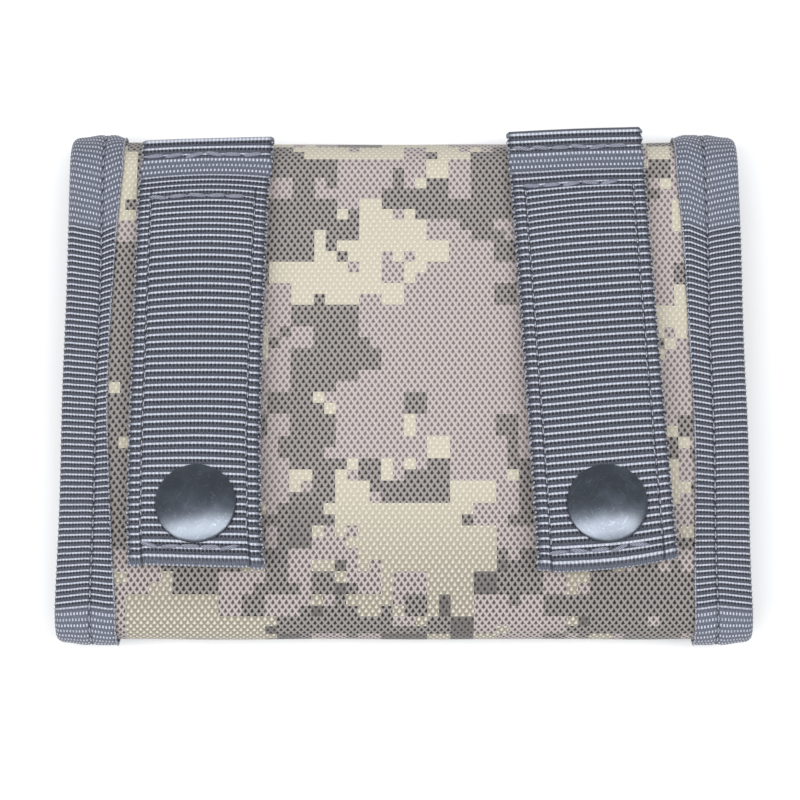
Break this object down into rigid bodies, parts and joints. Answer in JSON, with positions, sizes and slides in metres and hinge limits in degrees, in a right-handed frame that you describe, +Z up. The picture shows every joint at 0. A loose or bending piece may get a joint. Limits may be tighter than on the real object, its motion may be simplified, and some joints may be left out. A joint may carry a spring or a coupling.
{
  "type": "trifold wallet",
  "caption": "Closed trifold fabric wallet: camouflage cloth panels with bound side edges, card slots inside, and webbing carry straps with press snaps on the back panel.",
  "frame": {"origin": "middle of the closed wallet's underside, where the outer flap lies on a surface", "axes": "+X across the width along the folds, +Y towards the top fold that carries the outer flap, +Z up through the back panel and the straps"},
  "size_m": [0.13, 0.1, 0.0253],
  "materials": {
    "camouflage_cloth": "matt woven nylon with a printed block pattern in tan, grey and foliage grey",
    "binding_tape": "ribbed blue-grey tape, slight sheen on the ribs",
    "strap_webbing": "ribbed blue-grey webbing, slight sheen on the ribs",
    "lining_cloth": "thin grey nylon lining",
    "foam": "thin foam sheet",
    "hook_and_loop": "grey hook and loop tape",
    "clear_vinyl": "clear flexible vinyl",
    "stiffener": "black plastic strip",
    "snap_metal": "glossy gunmetal enamel with fine scratches"
  },
  "bodies": {
    "back": {"back_bill_wall": "lining_cloth", "back_binding_left": "binding_tape", "back_binding_right": "binding_tape", "back_core": "foam", "back_lining": "lining_cloth", "back_shell": "camouflage_cloth", "card_slot_1": "lining_cloth", "card_slot_2": "lining_cloth", "card_slot_3": "lining_cloth", "snap_left_rivet": "snap_metal", "snap_left_stud": "snap_metal", "snap_right_rivet": "snap_metal", "snap_right_stud": "snap_metal", "strap_left_anchor": "strap_webbing", "strap_right_anchor": "strap_webbing"},
    "top_spine": {"top_spine_bill_wall": "lining_cloth", "top_spine_binding_left": "binding_tape", "top_spine_binding_right": "binding_tape", "top_spine_lining": "lining_cloth", "top_spine_shell": "camouflage_cloth"},
    "outer_flap": {"closure_hook_tape": "hook_and_loop", "id_frame": "lining_cloth", "id_window": "clear_vinyl", "outer_flap_bill_wall": "lining_cloth", "outer_flap_binding": "binding_tape", "outer_flap_core": "foam", "outer_flap_lining": "lining_cloth", "outer_flap_shell": "camouflage_cloth"},
    "bottom_spine": {"bottom_spine_binding_left": "binding_tape", "bottom_spine_binding_right": "binding_tape", "bottom_spine_lining": "lining_cloth", "bottom_spine_shell": "camouflage_cloth"},
    "inner_flap": {"closure_loop_tape": "hook_and_loop", "coin_pocket": "lining_cloth", "inner_flap_binding": "binding_tape", "inner_flap_core": "foam", "inner_flap_lining": "lining_cloth", "inner_flap_shell": "camouflage_cloth"},
    "strap_left": {"strap_left_cap": "snap_metal", "strap_left_socket": "snap_metal", "strap_left_stiffener": "stiffener", "strap_left_webbing": "strap_webbing"},
    "strap_right": {"strap_right_cap": "snap_metal", "strap_right_socket": "snap_metal", "strap_right_stiffener": "stiffener", "strap_right_webbing": "strap_webbing"}
  },
  "joints": [
    {"name": "top_fold_upper", "type": "hinge", "parent": "back", "child": "top_spine", "pos_m": [0, 0.04817, 0.01517], "axis": [1, 0, 0], "range_deg": [0, 90]},
    {"name": "top_fold_lower", "type": "hinge", "parent": "top_spine", "child": "outer_flap", "pos_m": [0, 0.04817, 0.00183], "axis": [1, 0, 0], "range_deg": [0, 90]},
    {"name": "bottom_fold_upper", "type": "hinge", "parent": "back", "child": "bottom_spine", "pos_m": [0, -0.04871, 0.01571], "axis": [-1, 0, 0], "range_deg": [0, 90]},
    {"name": "bottom_fold_lower", "type": "hinge", "parent": "bottom_spine", "child": "inner_flap", "pos_m": [0, -0.04871, 0.00629], "axis": [-1, 0, 0], "range_deg": [0, 90]},
    {"name": "strap_left_hinge", "type": "hinge", "parent": "back", "child": "strap_left", "pos_m": [-0.038, 0.0415, 0.0186], "axis": [-1, 0.0052, 0], "range_deg": [0, 150]},
    {"name": "strap_right_hinge", "type": "hinge", "parent": "back", "child": "strap_right", "pos_m": [0.0333, 0.0415, 0.0186], "axis": [-0.9986, -0.0523, 0], "range_deg": [0, 150]}
  ],
  "couplings": [
    {"joint": "top_fold_lower", "follows": "top_fold_upper", "ratio": 1},
    {"joint": "bottom_fold_upper", "follows": "top_fold_upper", "ratio": 1},
    {"joint": "bottom_fold_lower", "follows": "top_fold_upper", "ratio": 1}
  ]
}
